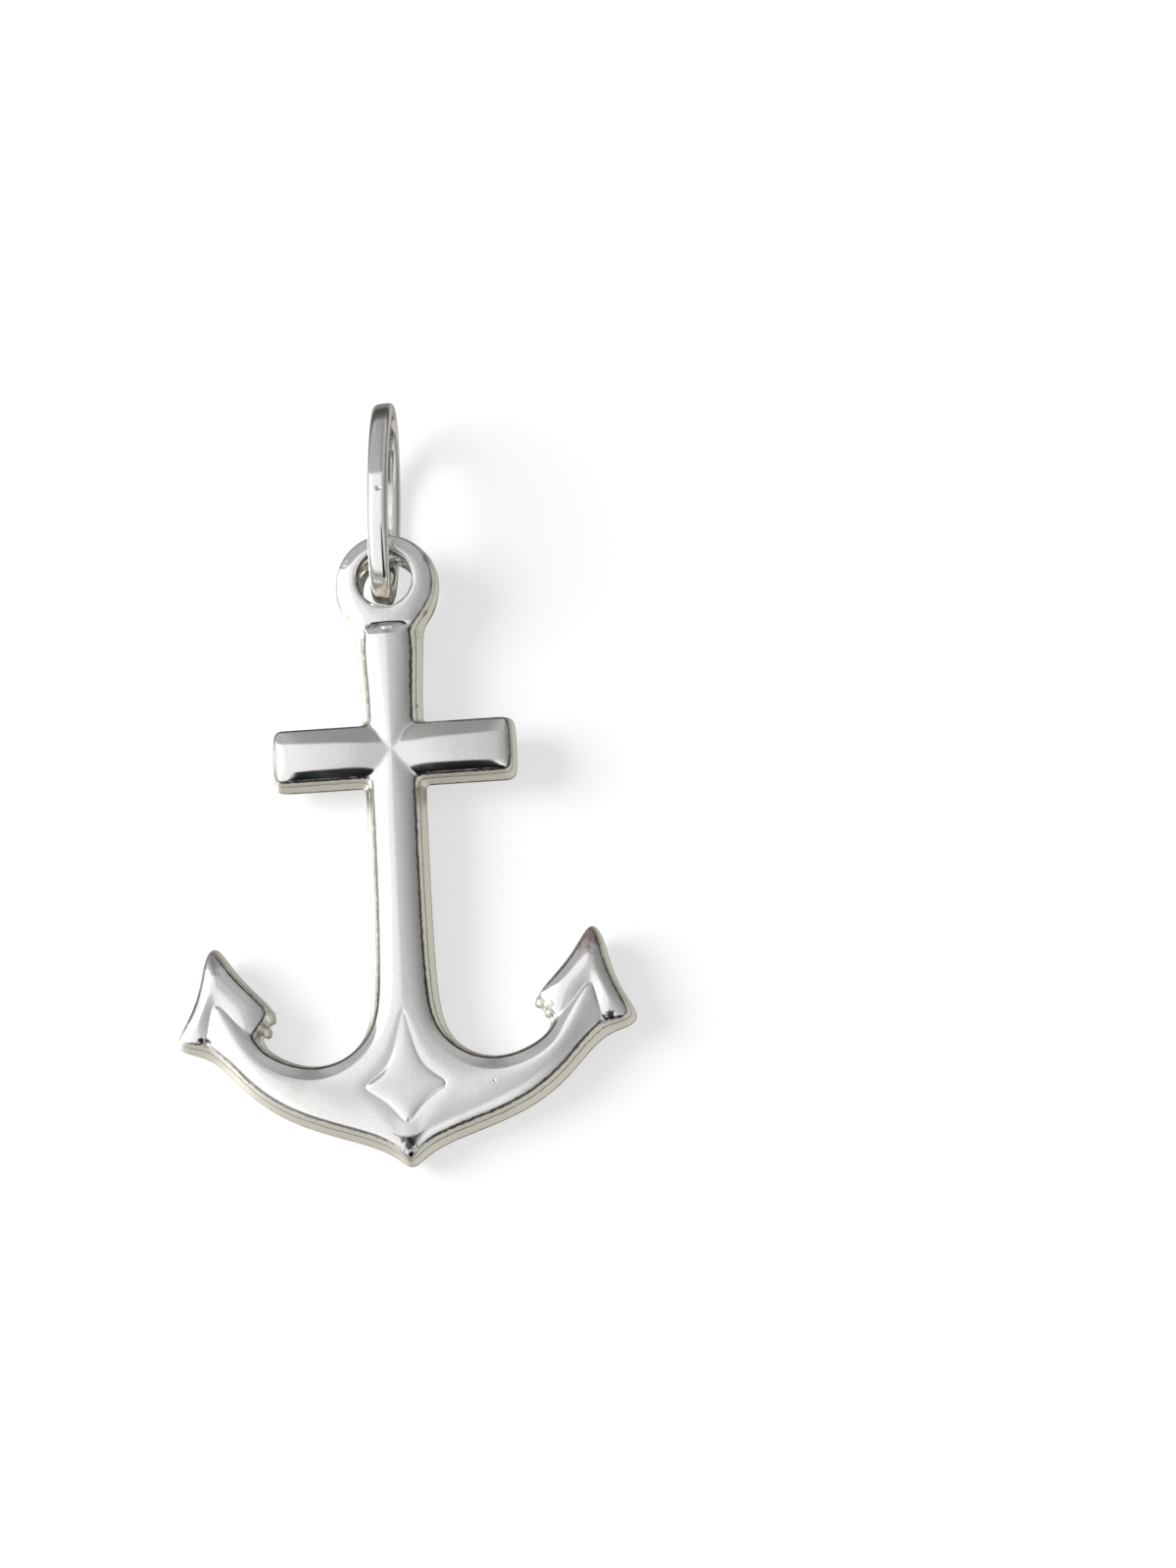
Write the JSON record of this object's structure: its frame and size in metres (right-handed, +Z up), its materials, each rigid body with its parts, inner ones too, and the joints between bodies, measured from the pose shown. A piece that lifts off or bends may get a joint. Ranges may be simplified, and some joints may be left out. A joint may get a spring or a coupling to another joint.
{
  "type": "anchor pendant",
  "caption": "Polished silver anchor charm with a raised star on its crown, hung by an oval jump ring through its eye; lies flat or hangs on a chain.",
  "frame": {"origin": "on the table under the middle of the bounding box", "axes": "+X across the arms to the right as seen from above, +Y from the crown towards the eye and its ring, +Z up from the table"},
  "size_m": [0.02, 0.0338, 0.007],
  "materials": {
    "silver": "polished sterling silver",
    "ring_silver": "polished sterling silver wire"
  },
  "bodies": {
    "root": {"anchor": "silver", "jump_ring": "ring_silver"}
  },
  "joints": []
}
